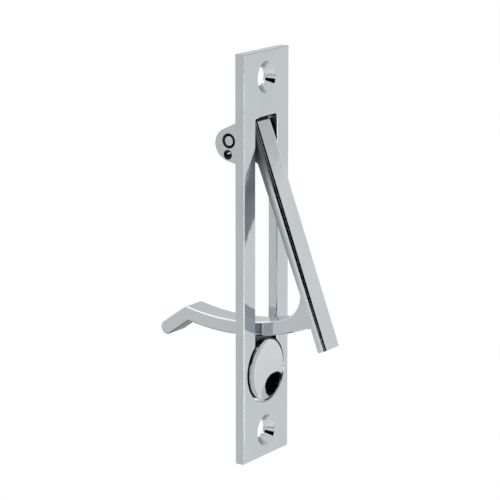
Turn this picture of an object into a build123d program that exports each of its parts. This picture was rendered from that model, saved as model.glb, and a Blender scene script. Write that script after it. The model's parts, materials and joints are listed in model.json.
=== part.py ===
"""Edge pull for a sliding door: faceplate, swinging pull lever, its pins and a rocking thumb disc.

Millimetres. +Z is up, +X is right seen from the front, the front faces -Y.
The origin is the centre of the faceplate's back face. The lever stands open.
"""
import os
from math import asin, cos, degrees, radians, sin, sqrt

from build123d import *

os.makedirs("parts", exist_ok=True)

# Faceplate
plate_height = 98.425
plate_width = 19.05
plate_thickness = 2.4
plate_edge = 0.3
screw_margin = 6.35
screw_hole_diameter = 4.5
screw_head_diameter = 7.6
screw_head_angle = 82.0

# Slot in the plate, open at its foot into the round thumb hole
slot_width = 9.2
slot_margin = 15.5
slot_corner = 0.8
cusp_radius = 0.5
thumb_margin = 21.5
thumb_hole_diameter = 15.8

# Lugs behind the plate that carry the lever
pivot_y = 4.2
pivot_drop = 5.7
lug_thickness = 1.5
lug_end_radius = 3.8
lug_end_drop = 0.8
lug_rise = 5.4
lug_fall = 5.8
lug_root = 0.2

# Pins
pivot_pin_diameter = 2.0
pivot_mouth_diameter = 3.6
pin_inset = 0.1
pin_edge = 0.2
stop_pin_diameter = 2.2
stop_pin_bore = 1.3
stop_pin_slit = 0.35
stop_pin_inset = 0.45
stop_drop = 3.3
stop_back = 0.25
stop_lug_radius = 1.5

# Lever, as it lies closed: depths run back from the pivot and heights up from it
open_angle = 20.5
lever_proud = 0.3
lever_width = 7.5
lever_round = 1.3
lever_top = 2.3
foot_reach = 5.8
lever_thick_top = 2.5
lever_thick_foot = 1.8
web_heel_radius = 1.9
web_heel_angle = 12.0
web_foot = -7.2
hub_gap = 0.35

# Arm of the lever, nearly an arc about the pivot, so that it slides through the slot:
# its middle lies arm_rise nearer the pivot than its root does, and its end arm_sink further off,
# both for an arm of radius arm_bow_radius and in proportion for a longer or shorter one
arm_gap = 0.1
arm_thickness = 3.4
arm_width = 6.4
arm_end_angle = 38.4
arm_bow_radius = 46.025
arm_rise = 0.45
arm_sink = 0.45
arm_top_fillet = 7.0
arm_foot_fillet = 1.5
arm_edge = 0.25
hook_length = 7.6
hook_drop_angle = 15.0

# Thumb disc, a dished cup whose rim stands a little proud of the plate
disc_gap = 0.6
disc_proud = 0.2
disc_thickness = 0.9
skirt_depth = 3.8
skirt_wall = 0.9
dish_radius = 12.0
disc_edge = 0.15
tongue_gap = 0.4
tongue_set_back = 1.3
tongue_rise = 0.3
tongue_bury = 0.2
trunnion_diameter = 1.1
trunnion_drop = 3.8
trunnion_depth = 1.45
trunnion_bury = 0.4
trunnion_reach = 1.3
groove_mouth = 0.9
groove_end_gap = 0.2

# Fits, each a gap on the radius
press_fit = 0.01
running_fit = 0.04

# Values that follow
plate_front = -plate_thickness
plate_end = plate_height / 2
screw_z = plate_end - screw_margin
slot_top = plate_end - slot_margin
thumb_z = thumb_margin - plate_end
pivot_z = slot_top - pivot_drop
lug_top = pivot_z + lug_rise
lug_foot = pivot_z - lug_fall
slot_half = slot_width / 2
lug_outer = slot_half + lug_thickness
thumb_hole_radius = thumb_hole_diameter / 2
pin_radius = pivot_pin_diameter / 2
stop_radius = stop_pin_diameter / 2
stop_y = pivot_y + stop_back
stop_z = pivot_z - stop_drop
front_depth = -(pivot_y + plate_thickness + lever_proud)
arm_outer_radius = pivot_z - thumb_z - thumb_hole_radius - arm_gap
arm_inner_radius = arm_outer_radius - arm_thickness
arm_mid_radius = arm_outer_radius - arm_thickness / 2
arm_bow = arm_mid_radius / arm_bow_radius
mid_rise = arm_rise * arm_bow
end_sink = arm_sink * arm_bow
lever_foot = -arm_outer_radius - foot_reach
disc_radius = thumb_hole_radius - disc_gap
disc_face = plate_front - disc_proud
dish_depth = dish_radius - sqrt(dish_radius**2 - disc_radius**2)
tongue_half = slot_half - tongue_gap
tongue_front = disc_face + tongue_set_back
tongue_back = disc_face + skirt_depth
tongue_top = thumb_z + disc_radius + tongue_rise
tongue_foot = thumb_z + sqrt(disc_radius**2 - tongue_half**2) - tongue_bury
trunnion_y = disc_face + trunnion_depth
trunnion_z = thumb_z - trunnion_drop
trunnion_radius = trunnion_diameter / 2
trunnion_start = sqrt(disc_radius**2 - trunnion_drop**2) - trunnion_bury
hole_half_chord = sqrt(thumb_hole_radius**2 - trunnion_drop**2)
trunnion_end = hole_half_chord + trunnion_reach

side_plane = Plane(origin=(0, 0, 0), x_dir=(0, 1, 0), z_dir=(1, 0, 0))
front_plane = Plane(origin=(0, plate_front, 0), x_dir=(1, 0, 0), z_dir=(0, -1, 0))
tilt = radians(open_angle)
lever_plane = Plane(
    origin=(0, pivot_y, pivot_z),
    x_dir=(0, cos(tilt), -sin(tilt)),
    z_dir=(1, 0, 0),
)


# Faceplate with its keyhole, countersunk screw holes, lugs and trunnion grooves
with BuildPart() as faceplate:
    with BuildSketch(front_plane):
        Rectangle(plate_width, plate_height)
        with BuildSketch(mode=Mode.PRIVATE) as keyhole:
            with Locations((0, (slot_top + thumb_z) / 2)):
                Rectangle(slot_width, slot_top - thumb_z)
            top_corners = keyhole.vertices().group_by(Axis.Y)[-1]
            fillet(top_corners, slot_corner)
            with Locations((0, thumb_z)):
                Circle(thumb_hole_radius)
            cusp_z = thumb_z + sqrt(thumb_hole_radius**2 - slot_half**2)
            cusps = [v for v in keyhole.vertices() if abs(v.Y - cusp_z) < cusp_radius / 2]
            fillet(cusps, cusp_radius)
        add(keyhole.sketch, mode=Mode.SUBTRACT)
    extrude(amount=-plate_thickness)
    front_edges = faceplate.faces().sort_by(Axis.Y)[0].edges()
    fillet(front_edges, plate_edge)

    with Locations(front_plane):
        with Locations((0, screw_z), (0, -screw_z)):
            CounterSinkHole(
                radius=screw_hole_diameter / 2,
                counter_sink_radius=screw_head_diameter / 2,
                depth=plate_thickness,
                counter_sink_angle=screw_head_angle,
            )

    for side in (-1, 1):
        lug_face = side_plane.offset(side * slot_half)
        with BuildSketch(lug_face):
            with Locations((pivot_y, pivot_z - lug_end_drop)):
                Circle(lug_end_radius)
            with Locations((stop_y, stop_z)):
                Circle(stop_lug_radius)
            with Locations((0, (lug_top + lug_foot) / 2)):
                Rectangle(2 * lug_root, lug_top - lug_foot)
            make_hull()
        extrude(amount=side * lug_thickness)

    with BuildSketch(side_plane):
        with Locations((pivot_y, pivot_z)):
            Circle(pin_radius + press_fit)
        with Locations((stop_y, stop_z)):
            Circle(stop_radius + press_fit)
    extrude(amount=lug_outer, both=True, mode=Mode.SUBTRACT)
    mouths = [
        e
        for e in faceplate.edges().filter_by(GeomType.CIRCLE)
        if abs(e.radius - pin_radius - press_fit) < press_fit / 2
        and abs(abs(e.arc_center.X) - lug_outer) < press_fit
    ]
    chamfer(mouths, pivot_mouth_diameter / 2 - pin_radius - press_fit)

    with BuildSketch(side_plane):
        with Locations((trunnion_y, trunnion_z)):
            Circle(trunnion_radius + running_fit)
        with Locations((trunnion_y / 2, trunnion_z)):
            Rectangle(-trunnion_y, groove_mouth)
    extrude(amount=trunnion_end + groove_end_gap, both=True, mode=Mode.SUBTRACT)
faceplate.part.label = "faceplate"
export_step(faceplate.part, "parts/faceplate.step")


# Pull lever: the arm with its hook, the hub, then the bar and the web that joins it to the hub
def on_arc(radius, angle):
    """Point at a radius from the pivot, at an angle back from straight below it."""
    return (radius * sin(radians(angle)), -radius * cos(radians(angle)))


bar_back_top = front_depth + lever_thick_top
bar_back_foot = front_depth + lever_thick_foot
arm_front = front_depth + arm_edge
arm_root_angle = degrees(asin((front_depth + lever_round) / arm_mid_radius))
arm_middle_angle = (arm_root_angle + arm_end_angle) / 2
hook_start = on_arc(arm_mid_radius + end_sink, arm_end_angle)
hook_end = (
    hook_start[0] + hook_length * cos(radians(hook_drop_angle)),
    hook_start[1] - hook_length * sin(radians(hook_drop_angle)),
)

with BuildPart() as pull_lever:
    with BuildSketch(lever_plane) as arm_sketch:
        with BuildLine():
            Polyline(
                (arm_front, web_foot),
                (arm_front, lever_foot + arm_edge),
                (bar_back_foot, lever_foot + arm_edge),
                (bar_back_foot, -arm_inner_radius),
                (bar_back_top, web_foot),
                close=True,
            )
        make_face()
        with BuildLine():
            top_line = ThreePointArc(
                on_arc(arm_inner_radius, arm_root_angle),
                on_arc(arm_inner_radius - mid_rise, arm_middle_angle),
                on_arc(arm_inner_radius + end_sink, arm_end_angle),
            )
            under_line = ThreePointArc(
                on_arc(arm_outer_radius, arm_root_angle),
                on_arc(arm_outer_radius - mid_rise, arm_middle_angle),
                on_arc(arm_outer_radius + end_sink, arm_end_angle),
            )
            Line(top_line @ 0, under_line @ 0)
            Line(top_line @ 1, under_line @ 1)
        make_face()
        top_corner = (bar_back_foot, -sqrt(arm_inner_radius**2 - bar_back_foot**2))
        foot_corner = (bar_back_foot, -sqrt(arm_outer_radius**2 - bar_back_foot**2))
        fillet(arm_sketch.vertices().sort_by_distance(top_corner)[0], arm_top_fillet)
        fillet(arm_sketch.vertices().sort_by_distance(foot_corner)[0], arm_foot_fillet)
        with BuildSketch(mode=Mode.PRIVATE) as hook_sketch:
            with Locations(hook_start, hook_end):
                Circle(arm_thickness / 2)
            make_hull()
        add(hook_sketch.sketch)
    extrude(amount=arm_width / 2, both=True)
    arm_sides = pull_lever.faces().filter_by(Axis.X)
    chamfer(arm_sides.edges(), arm_edge)

    with BuildSketch(lever_plane):
        Circle(web_heel_radius)
    extrude(amount=slot_half - hub_gap, both=True)

    with BuildSketch(lever_plane):
        with BuildLine():
            Polyline(
                (front_depth, lever_top),
                (front_depth, lever_foot),
                (bar_back_foot, lever_foot),
                (bar_back_foot, -arm_inner_radius),
                (bar_back_top, web_foot),
                on_arc(web_heel_radius, -web_heel_angle),
                (0, web_heel_radius),
                (bar_back_top, lever_top),
                close=True,
            )
        make_face()
    extrude(amount=lever_width / 2, both=True)
    front_face = pull_lever.faces().sort_by(Axis(lever_plane.origin, lever_plane.x_dir))[0]
    fillet(front_face.edges().filter_by(Axis(lever_plane.origin, lever_plane.y_dir)), lever_round)

    with BuildSketch(lever_plane):
        Circle(pin_radius + running_fit)
    extrude(amount=lug_outer, both=True, mode=Mode.SUBTRACT)
pull_lever.part.label = "pull_lever"
export_step(pull_lever.part, "parts/pull_lever.step")


# Pivot pin, riveted in the lugs' countersunk holes
with BuildPart() as pivot_pin:
    with BuildSketch(side_plane):
        with Locations((pivot_y, pivot_z)):
            Circle(pin_radius)
    extrude(amount=lug_outer - pin_inset, both=True)
    chamfer(pivot_pin.edges().filter_by(GeomType.CIRCLE), pin_edge)
pivot_pin.part.label = "pivot_pin"
export_step(pivot_pin.part, "parts/pivot_pin.step")


# Stop pin, a slit tube set back inside the lugs' lower holes
with BuildPart() as stop_pin:
    with BuildSketch(side_plane):
        with Locations((stop_y, stop_z)):
            Circle(stop_radius)
            Circle(stop_pin_bore / 2, mode=Mode.SUBTRACT)
        with Locations((stop_y + stop_radius / 2, stop_z)):
            Rectangle(stop_radius + stop_pin_slit, stop_pin_slit, mode=Mode.SUBTRACT)
    extrude(amount=lug_outer - stop_pin_inset, both=True)
stop_pin.part.label = "stop_pin"
export_step(stop_pin.part, "parts/stop_pin.step")


# Thumb disc: a dished cup with a skirt, a tongue below the lever's arm and two trunnions
disc_plane = Plane(origin=(0, disc_face, thumb_z), x_dir=(1, 0, 0), z_dir=(0, 0, 1))
half_radius = disc_radius / 2
skirt_radius = disc_radius - skirt_wall


def dish_at(radius):
    """Depth of the dish below its rim at a distance from the disc's axis."""
    return dish_depth - dish_radius + sqrt(dish_radius**2 - radius**2)


with BuildPart() as thumb_disc:
    with BuildSketch(disc_plane):
        with BuildLine():
            ThreePointArc((0, dish_depth), (half_radius, dish_at(half_radius)), (disc_radius, 0))
            Polyline(
                (disc_radius, 0),
                (disc_radius, skirt_depth),
                (skirt_radius, skirt_depth),
                (skirt_radius, dish_at(skirt_radius) + disc_thickness),
            )
            ThreePointArc(
                (skirt_radius, dish_at(skirt_radius) + disc_thickness),
                (half_radius, dish_at(half_radius) + disc_thickness),
                (0, dish_depth + disc_thickness),
            )
            Line((0, dish_depth + disc_thickness), (0, dish_depth))
        make_face()
    revolve(axis=Axis((0, 0, thumb_z), (0, 1, 0)))
    rim = thumb_disc.edges().filter_by(GeomType.CIRCLE).sort_by(Axis.Y)[0]
    chamfer(rim, disc_edge)
    with Locations((0, (tongue_front + tongue_back) / 2, (tongue_top + tongue_foot) / 2)):
        Box(2 * tongue_half, tongue_back - tongue_front, tongue_top - tongue_foot)
    for side in (-1, 1):
        with BuildSketch(side_plane.offset(side * trunnion_start)):
            with Locations((trunnion_y, trunnion_z)):
                Circle(trunnion_radius)
        extrude(amount=side * (trunnion_end - trunnion_start))
thumb_disc.part.label = "thumb_disc"
export_step(thumb_disc.part, "parts/thumb_disc.step")
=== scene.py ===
# %% [markdown]
# # A chrome edge pull
# The solids of this edge pull come ready made, in metres, with the faceplate's back on the XZ plane.
# This lesson gives them their polish, lights them as small hardware is lit for a catalogue,
# and adds the little worked shapes that the solids leave plain.

# %% Load the frame
import json
import math
import bpy
import bmesh
from mathutils import Matrix, Vector


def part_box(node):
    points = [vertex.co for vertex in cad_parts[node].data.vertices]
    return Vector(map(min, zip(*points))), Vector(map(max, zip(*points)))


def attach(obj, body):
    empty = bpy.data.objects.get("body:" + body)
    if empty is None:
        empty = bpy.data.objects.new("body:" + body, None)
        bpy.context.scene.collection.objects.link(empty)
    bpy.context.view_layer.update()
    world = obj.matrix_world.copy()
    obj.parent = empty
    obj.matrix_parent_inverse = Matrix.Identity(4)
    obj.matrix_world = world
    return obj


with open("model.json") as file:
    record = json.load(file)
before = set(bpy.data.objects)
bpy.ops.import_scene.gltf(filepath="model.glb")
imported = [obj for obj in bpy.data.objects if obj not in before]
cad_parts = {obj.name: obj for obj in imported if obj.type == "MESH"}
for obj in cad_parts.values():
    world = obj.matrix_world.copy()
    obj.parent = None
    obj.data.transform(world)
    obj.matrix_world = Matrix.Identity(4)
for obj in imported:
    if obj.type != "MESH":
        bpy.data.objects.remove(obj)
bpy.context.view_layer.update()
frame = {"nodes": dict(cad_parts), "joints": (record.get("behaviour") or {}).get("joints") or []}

scene = bpy.context.scene
scene.view_settings.view_transform = "Standard"
MM = 0.001
print("solids:", sorted(frame["nodes"]))

# %% [markdown]
# ## The camera
# The picture looks from the front and left, a little from above, through a long lens.
# The camera has no shift: its place, its two angles and its focal length were fitted to the faceplate's
# corners and to a few points on the lever. Blender's camera looks down its own -Z, so the direction of
# the view is turned into a rotation with to_track_quat.

# %% Camera
camera_data = bpy.data.cameras.new("camera")
camera_data.sensor_width = 36.0
camera_data.lens = 168.89
camera_data.clip_start = 0.01
camera = bpy.data.objects.new("camera", camera_data)
scene.collection.objects.link(camera)
yaw, pitch = math.radians(56.238), math.radians(12.958)
looking = Vector((math.sin(yaw) * math.cos(pitch), math.cos(yaw) * math.cos(pitch), -math.sin(pitch)))
camera.location = Vector((-451.91, -299.80, 126.04)) * MM
camera.rotation_mode = "QUATERNION"
camera.rotation_quaternion = looking.to_track_quat("-Z", "Y")
scene.camera = camera
print("camera is", round(camera.location.length, 3), "m from the plate's middle")

# %% [markdown]
# ## Writing shader maths
# A finish is a graph of nodes. One small class holds a socket, and its operators add Math nodes, so that
# a mask can be written as 1 - lines * 0.4. Its one method for all else, add, makes any other node.

# %% Shader maths
class Finish:
    """A socket of a material's nodes, which sums can be written with."""

    def __init__(self, tree, socket=None):
        self.tree = tree
        self.socket = socket

    def add(self, kind, settings=None, inputs=None, output=0):
        node = self.tree.nodes.new(kind)
        for name, value in (settings or {}).items():
            if name == "stops":
                ramp = node.color_ramp.elements
                while len(ramp) < len(value):
                    ramp.new(0.5)
                for stop, (place, shade) in zip(ramp, value):
                    stop.position = place
                    stop.color = (shade, shade, shade, 1)
            else:
                setattr(node, name, value)
        for name, value in (inputs or {}).items():
            if isinstance(value, Finish):
                self.tree.links.new(value.socket, node.inputs[name])
            else:
                node.inputs[name].default_value = value
        return Finish(self.tree, node.outputs[output]) if node.outputs else None

    def sum(self, operation, first, second):
        return self.add("ShaderNodeMath", {"operation": operation}, {0: first, 1: second})

    def __add__(self, other):
        return self.sum("ADD", self, other)

    def __radd__(self, other):
        return self.sum("ADD", other, self)

    def __sub__(self, other):
        return self.sum("SUBTRACT", self, other)

    def __rsub__(self, other):
        return self.sum("SUBTRACT", other, self)

    def __mul__(self, other):
        return self.sum("MULTIPLY", self, other)

    def __rmul__(self, other):
        return self.sum("MULTIPLY", other, self)


def new_finish(name):
    """An empty material and the start of its nodes."""
    material = bpy.data.materials.new(name)
    material.use_nodes = True
    material.node_tree.nodes.clear()
    return material, Finish(material.node_tree)


print("a socket can be added, subtracted and multiplied, on either side of the sign")

# %% [markdown]
# ## The studio
# Polished metal shows what stands round it, so the studio makes most of the picture. The floor is white and
# far below, the world is white too, and both read as plain white behind the part.

# %% World
world = bpy.data.worlds.new("light_tent")
world.use_nodes = True
world.node_tree.nodes["Background"].inputs["Color"].default_value = (1, 1, 1, 1)
world.node_tree.nodes["Background"].inputs["Strength"].default_value = 1.0
scene.world = world
print("world:", world.name)

# %% Floor
floor_half = 6.0
floor_drop = 0.6


def noise(nodes, place, scale, detail, roughness=0.5):
    """Soft noise, with about scale waves to each unit of place."""
    return nodes.add("ShaderNodeTexNoise", None, {
        "Vector": place, "Scale": scale, "Detail": detail, "Roughness": roughness,
    })


floor_paper, nodes = new_finish("floor_paper")
place = nodes.add("ShaderNodeTexCoord", None, None, "Object")
grain = noise(nodes, place, scale=900.0, detail=3.0)
paper = nodes.add("ShaderNodeBsdfDiffuse", None, {
    "Color": (1, 1, 1, 1),
    "Normal": nodes.add("ShaderNodeBump", None, {"Height": grain, "Strength": 0.02, "Distance": 0.2 * MM}),
})
nodes.add("ShaderNodeOutputMaterial", None, {"Surface": paper})

mesh = bpy.data.meshes.new("floor")
shape = bmesh.new()
bmesh.ops.create_grid(shape, x_segments=1, y_segments=1, size=floor_half)
bmesh.ops.translate(shape, verts=shape.verts, vec=(0, 0, -floor_drop))
shape.to_mesh(mesh)
shape.free()
mesh.materials.append(floor_paper)
floor = bpy.data.objects.new("floor", mesh)
scene.collection.objects.link(floor)
print("floor is", 2 * floor_half, "m wide and", floor_drop, "m below the plate's middle")

# %% [markdown]
# A light tent is open where the camera looks in, and the room behind the camera is dark. That dark front
# is made of two oval cards that only reflections can see: one draws the black patch in the thumb disc's
# dish, the other the black line down the lever's round edge. Grey cards stand for the tent's darker sides.
# They tone the faceplate's left rail, all that faces left, the lever's face and the arm's top.

# %% Cards that only reflections see
OVAL, RECTANGLE = 64, 4


def toward(azimuth, elevation):
    """Direction out from the part: azimuth 0 is straight in front, and left is negative."""
    a, e = math.radians(azimuth), math.radians(elevation)
    return Vector((math.sin(a) * math.cos(e), -math.cos(a) * math.cos(e), math.sin(e)))


def card(name, shade, azimuth, elevation, half_angles, distance, corners=OVAL, turn=0):
    """A flat card that faces the part and covers so many degrees to each side of its middle."""
    paint, nodes = new_finish(name)
    nodes.add("ShaderNodeOutputMaterial", None, {
        "Surface": nodes.add("ShaderNodeEmission", None, {"Color": (shade, shade, shade, 1)}),
    })
    wide, high = (distance * math.tan(math.radians(a)) for a in half_angles)
    middle = toward(azimuth, elevation)
    shape = bmesh.new()
    bmesh.ops.create_circle(shape, cap_ends=True, segments=corners, radius=1.0)
    if corners == RECTANGLE:
        upright = Matrix.Rotation(math.pi / 4, 3, "Z")
        bmesh.ops.rotate(shape, verts=shape.verts, cent=(0, 0, 0), matrix=upright)
        bmesh.ops.scale(shape, verts=shape.verts, vec=(math.sqrt(2), math.sqrt(2), 1))
    bmesh.ops.scale(shape, verts=shape.verts, vec=(wide, high, 1))
    turned = Matrix.Rotation(math.radians(turn), 3, "Z")
    bmesh.ops.rotate(shape, verts=shape.verts, cent=(0, 0, 0), matrix=turned)
    facing = (-middle).to_track_quat("Z", "Y").to_matrix().to_4x4()
    bmesh.ops.transform(shape, verts=shape.verts, matrix=Matrix.Translation(middle * distance) @ facing)
    mesh = bpy.data.meshes.new(name)
    shape.to_mesh(mesh)
    shape.free()
    mesh.materials.append(paint)
    sheet = bpy.data.objects.new(name, mesh)
    scene.collection.objects.link(sheet)
    sheet.visible_camera = False
    sheet.visible_diffuse = False
    sheet.visible_shadow = False
    return sheet


# Name, shade, azimuth, elevation, half angles across and up, distance in metres
cards = [
    card("dark_front", 0.0, 20, 18, (32, 14), 1.4, turn=-22),
    card("dark_left", 0.0, -45, 25, (37, 13), 1.4),
    card("grey_front", 0.5, -64, -9.5, (26, 4.5), 1.9, RECTANGLE),
    card("grey_left", 0.84, -124, -8, (33, 32), 1.6, RECTANGLE),
    card("grey_right", 0.75, 62, 27, (20, 14), 1.6, RECTANGLE),
    card("grey_back", 0.8, 124, 22, (30, 24), 1.6, RECTANGLE),
]
print("cards:", [sheet.name for sheet in cards])

# %% [markdown]
# Two lamps are what the bevelled edges show: a low soft box at the front left draws the thin white lines
# along the faceplate, and one over the back draws them along the arm.

# %% Lamps
lamp_distance = 1.3


def soft_box(name, place, size, strength):
    """An area lamp at place, turned to the plate's middle, with power in proportion to its area."""
    lamp = bpy.data.lights.new(name, "AREA")
    lamp.shape = "RECTANGLE"
    lamp.size, lamp.size_y = size
    lamp.energy = strength * math.pi * size[0] * size[1]
    made = bpy.data.objects.new(name, lamp)
    made.location = place
    made.rotation_mode = "QUATERNION"
    made.rotation_quaternion = (-Vector(place)).to_track_quat("-Z", "Y")
    made.visible_camera = False
    scene.collection.objects.link(made)
    return made


lamps = [
    soft_box("edge_strip", toward(-32, -13) * lamp_distance, (0.24, 0.3), 5.0),
    soft_box("top_light", toward(-158, 54) * lamp_distance, (0.8, 0.5), 0.7),
]
print("lamps:", [made.name for made in lamps])

# %% [markdown]
# ## Polished chrome
# Chrome plate is a mirror with a faint cool grey. Up close it isn't even: the buffing wheel leaves
# fine lines along each piece, the plating has a soft ripple like orange peel, and handling leaves hazy
# patches. The lines are noise stretched along the piece, the haze is soft noise in the roughness.
# Each finish can take a mask of hollows, of places between parts and of faces turned away, where the metal
# is made rougher and painted shade darkens its colour.

# %% Chrome finish
smear_scale, peel_scale = 95.0, 420.0
peel_depth, line_height = 0.3 * MM, 0.05 * MM
peel_strength = 0.05
clean_tint, hazy_tint = 1.03, 0.955
patch_share, line_share = 0.6, 0.4
line_haze = 0.6
dull_roughness, dull_smear = 0.34, 0.1
haze_stops = [(0.42, 0.0), (0.68, 1.0)]


def shaded(colour, share):
    """A colour made lighter or darker."""
    return (*(c * share for c in colour), 1)


def blend(nodes, factor, first, second):
    """The first colour where the factor is 0, the second where it is 1."""
    return nodes.add("ShaderNodeMix", {"data_type": "RGBA"}, {"Factor": factor, 6: first, 7: second}, 2)


def chrome(name, colour, gloss, haze, grain, line_depth, shade_and_rough=None, shade_tone=0.1):
    """Polished chrome with buffing lines along the axis of the smallest grain, rougher and with painted
    shade where a mask says.
    """
    material, nodes = new_finish(name)
    place = nodes.add("ShaderNodeTexCoord", None, None, "Object")
    along = nodes.add("ShaderNodeMapping", None, {"Vector": place, "Scale": grain})
    lines = noise(nodes, along, scale=1.0, detail=4.0, roughness=0.6)
    smear = noise(nodes, place, smear_scale, detail=3.0)
    peel = noise(nodes, place, peel_scale, detail=1.0)
    patches = nodes.add("ShaderNodeValToRGB", {"stops": haze_stops}, {"Fac": smear})
    wear = patches * patch_share + lines * line_share
    tint = blend(nodes, wear, shaded(colour, clean_tint), shaded(colour, hazy_tint))
    rough = gloss + patches * haze + lines * (haze * line_haze)
    # Where the mask lies, painted shade darkens the colour and the metal is made rougher.
    if shade_and_rough:
        mask = shade_and_rough(nodes, place)
        tint = blend(nodes, mask, tint, shaded(colour, shade_tone))
        rough = rough + mask * (dull_roughness + smear * dull_smear)
    ripple = nodes.add("ShaderNodeBump", None, {
        "Height": peel, "Strength": peel_strength, "Distance": peel_depth,
    })
    scratch = nodes.add("ShaderNodeBump", None, {
        "Height": lines, "Strength": line_depth, "Distance": line_height, "Normal": ripple,
    })
    metal = nodes.add("ShaderNodeBsdfPrincipled", None, {
        "Base Color": tint,
        "Metallic": 1.0,
        "Roughness": rough,
        "Normal": scratch,
    })
    nodes.add("ShaderNodeOutputMaterial", None, {"Surface": metal})
    return material


print("haze comes about every", round(1 / smear_scale / MM, 1), "mm")
print("ripple comes about every", round(1 / peel_scale / MM, 1), "mm")

# %% [markdown]
# ## Painted shade in hollows and behind, on rougher metal
# The masks are made from the solid's own coordinates, so they stay on the metal as the lever swings.
# On the faceplate they paint shade into the holes of the two pins and onto the lugs' inner faces and the
# slot's top end.
# Each named range gives the value where a mask begins and the value where it is full.

# %% Mask of the faceplate
joints = {joint["name"]: Vector(joint["pos_m"]) for joint in frame["joints"]}
pivot = joints["lever_swing"]
stop_low, stop_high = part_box("stop_pin")
stop = (stop_low + stop_high) / 2
slot_top = pivot.z + 5.7 * MM
mouth_radius, stop_hole_radius = 1.83 * MM, 1.2 * MM
ring_blend = 0.05 * MM
inside_slot = (4.66 * MM, 4.63 * MM)
behind_plate = (0.05 * MM, 0.2 * MM)
above_pivot = (pivot.z, pivot.z + 0.6 * MM)
behind_front = (-2.2 * MM, -2.0 * MM)
slot_end_foot = (slot_top - 1.0 * MM, slot_top - 0.8 * MM)
slot_end_head = (slot_top + 0.06 * MM, slot_top + 0.03 * MM)


def step(nodes, value, begins, full):
    """0 where a value lies before a range, 1 past it, and a slope between."""
    return nodes.add("ShaderNodeMapRange", None, {"Value": value, "From Min": begins, "From Max": full})


def axes(nodes, vector):
    """The three numbers of a vector."""
    cut = nodes.add("ShaderNodeSeparateXYZ", None, {"Vector": vector})
    return [Finish(nodes.tree, socket) for socket in cut.socket.node.outputs]


def either(nodes, *masks):
    """The largest of some masks."""
    largest = masks[0]
    for mask in masks[1:]:
        largest = nodes.sum("MAXIMUM", largest, mask)
    return largest


def lug_recesses(nodes, place):
    """Painted shade in the mouths round the pivot pin and the stop pin's holes, and on the lugs' inner faces
    and the slot's top end.
    """
    x, y, z = axes(nodes, place)
    rings = []
    for centre, radius in ((pivot, mouth_radius), (stop, stop_hole_radius)):
        across, up = y - centre.y, z - centre.z
        reach = across * across + up * up
        rings.append(step(nodes, reach, radius**2, (radius - ring_blend) ** 2))
    between = step(nodes, nodes.sum("ABSOLUTE", x, 0.0), *inside_slot)
    inner = between * step(nodes, y, *behind_plate) * step(nodes, z, *above_pivot)
    slot_end = between * step(nodes, y, *behind_front)
    slot_end = slot_end * step(nodes, z, *slot_end_foot) * step(nodes, z, *slot_end_head)
    return either(nodes, *rings, inner, slot_end)


print("slot ends", round((slot_top - pivot.z) / MM, 2), "mm above the pivot")

# %% [markdown]
# The thumb disc is polished in its dish and on its rim. Its skirt and tongue stand behind the faceplate's
# face, in the gap's shade, so all that lies outside the dish and behind the rim's edge is made rougher and
# darkened with painted shade.

# %% Mask of the thumb disc
disc_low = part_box("thumb_disc")[0]
disc_radius = 7.3 * MM
disc_middle = disc_low.z + disc_radius
dish_edge = ((disc_radius - 0.12 * MM) ** 2, (disc_radius - 0.06 * MM) ** 2)
behind_rim = (disc_low.y + 0.12 * MM, disc_low.y + 0.2 * MM)


def disc_skirt(nodes, place):
    """Painted shade on all of the disc that lies behind its rim's edge, outside the dish: the skirt and the
    tongue.
    """
    x, y, z = axes(nodes, place)
    up = z - disc_middle
    reach = x * x + up * up
    return step(nodes, reach, *dish_edge) * step(nodes, y, *behind_rim)


print("disc's middle is", round(-disc_middle / MM, 2), "mm below the plate's middle")

# %% [markdown]
# The lever is polished where a hand and an eye meet it. Its back, the rear of its sides above the arm, its
# sides near the pivot and the underside of the hook lie in shade, and are made rougher and darkened with
# painted shade.
# The lever stands open, so depths and heights are measured along its own tilted directions.

# %% Mask of the lever
open_angle = math.radians(20.5)
lever_back = Vector((0, math.cos(open_angle), -math.sin(open_angle)))
lever_up = Vector((0, math.sin(open_angle), math.cos(open_angle)))
faces_back = (0.75, 0.95)
faces_down = (-0.1, -0.5)
sides_front = (-6.1 * MM, -5.1 * MM)
sides_rear = (4 * MM, 3 * MM)
above_arm = (-42 * MM, -32 * MM)
cheeks_edge = (3.2 * MM, 3.5 * MM)
cheeks_foot = (-16 * MM, -6 * MM)
hook_start = (3 * MM, 6 * MM)
# The lever's back and the rear of its sides take only part of the painted shade.
back_shade_share = 0.6


def lever_behind(nodes, place):
    """Painted shade on the lever's back, the rear of its sides, its cheeks near the pivot and the hook's
    underside.
    """
    def along(vector, direction):
        settings = {"operation": "DOT_PRODUCT"}
        return nodes.add("ShaderNodeVectorMath", settings, {0: vector, 1: direction}, "Value")

    facing = nodes.add("ShaderNodeTexCoord", None, None, "Normal")
    x, y = axes(nodes, place)[:2]
    depth = along(place, lever_back) - pivot.dot(lever_back)
    height = along(place, lever_up) - pivot.dot(lever_up)
    back = step(nodes, along(facing, lever_back), *faces_back)
    sides = step(nodes, depth, *sides_front) * step(nodes, depth, *sides_rear)
    sides = sides * step(nodes, height, *above_arm)
    cheeks = step(nodes, nodes.sum("ABSOLUTE", x, 0.0), *cheeks_edge) * step(nodes, height, *cheeks_foot)
    underside = step(nodes, y, *hook_start) * step(nodes, axes(nodes, facing)[2], *faces_down)
    return either(nodes, either(nodes, back, sides) * back_shade_share, underside, cheeks)


print("lever stands open by", round(math.degrees(open_angle), 1), "degrees")
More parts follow.
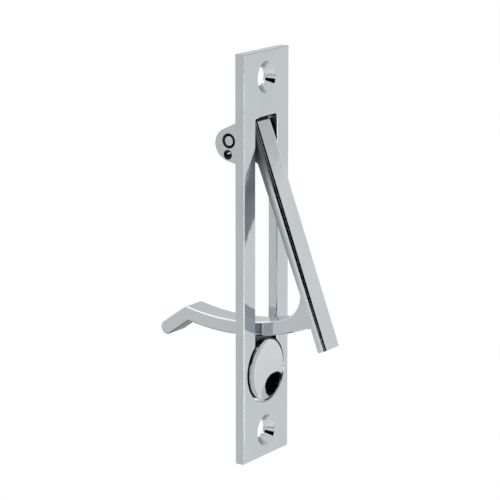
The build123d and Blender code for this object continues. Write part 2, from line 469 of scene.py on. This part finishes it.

# %% [markdown]
# ## A finish for each solid
# The plate, the lever and the disc are chromed alike, but the disc's colour is made the lightest, which
# paints light onto it. The pivot pin is satin, and the stop pin is blackened steel that sits back in its
# hole; its near-black also paints the hole's shade.

# %% Give each solid its finish
pin_steel = chrome(
    "pin_steel", (0.50, 0.51, 0.52), gloss=0.16, haze=0.10, grain=(900, 5200, 5200), line_depth=0.12,
)
finishes = {
    "faceplate": chrome(
        "plate_chrome", (0.515, 0.543, 0.563), gloss=0.05, haze=0.05, grain=(2600, 2600, 45),
        line_depth=0.08, shade_and_rough=lug_recesses, shade_tone=0.05,
    ),
    "pull_lever": chrome(
        "lever_chrome", (0.545, 0.575, 0.598), gloss=0.045, haze=0.05, grain=(2600, 900, 60),
        line_depth=0.08, shade_and_rough=lever_behind, shade_tone=0.25,
    ),
    # The disc's chrome is a lighter copy, which paints light onto the disc.
    "thumb_disc": chrome(
        "disc_chrome", (0.580, 0.603, 0.622), gloss=0.04, haze=0.05, grain=(700, 700, 700),
        line_depth=0.05, shade_and_rough=disc_skirt, shade_tone=0.1,
    ),
    "pivot_pin": pin_steel,
    # The stop pin's near-black is blackened steel, and it also paints the shade deep in its hole.
    "stop_pin": chrome(
        "black_steel_hole_shade", (0.05, 0.05, 0.055), gloss=0.35, haze=0.15, grain=(900, 4200, 4200), line_depth=0.15,
    ),
}
for node, finish in finishes.items():
    frame["nodes"][node].data.materials.clear()
    frame["nodes"][node].data.materials.append(finish)
print("finishes given to", len(finishes), "solids")

# %% [markdown]
# ## Peened pin ends
# The pivot pin is held by its ends, which a punch has spread into the lugs' mouths. The punch leaves a round
# button, wider than the pin, with a shallow dimple. It is a turned shape, so its half outline is drawn once
# and spun about the pin's line, closed at the back, where it sinks a little into the pin.

# %% Peened ends
spin_steps = 48
same_point = 1e-7
button_back = -0.16
# Radius from the pin's line and height over the pin's end, in millimetres
dimple = [(0.0, 0.02), (0.3, 0.025), (0.5, 0.06), (0.66, 0.09)]
rim = [(0.9, 0.09), (1.08, 0.05), (1.16, -0.03), (1.12, -0.12), (0.9, button_back)]
half_outline = [*dimple, *rim, (0.0, button_back)]


def peened_end(name, side):
    """A dimpled button on one end of the pivot pin."""
    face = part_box("pivot_pin")[1 if side > 0 else 0].x
    shape = bmesh.new()
    line = [shape.verts.new((face + side * out * MM, pivot.y, pivot.z + r * MM)) for r, out in half_outline]
    edges = [shape.edges.new(pair) for pair in zip(line, line[1:])]
    bmesh.ops.spin(
        shape, geom=line + edges, axis=(1, 0, 0), cent=pivot, angle=2 * math.pi, steps=spin_steps,
        use_merge=True,
    )
    bmesh.ops.remove_doubles(shape, verts=shape.verts, dist=same_point)
    bmesh.ops.recalc_face_normals(shape, faces=shape.faces)
    for patch in shape.faces:
        patch.smooth = True
    mesh = bpy.data.meshes.new(name)
    shape.to_mesh(mesh)
    shape.free()
    mesh.materials.append(pin_steel)
    button = bpy.data.objects.new(name, mesh)
    scene.collection.objects.link(button)
    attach(button, "plate")
    return button


for name, side in (("peened_end_left", -1), ("peened_end_right", 1)):
    print(name, len(peened_end(name, side).data.polygons), "faces")
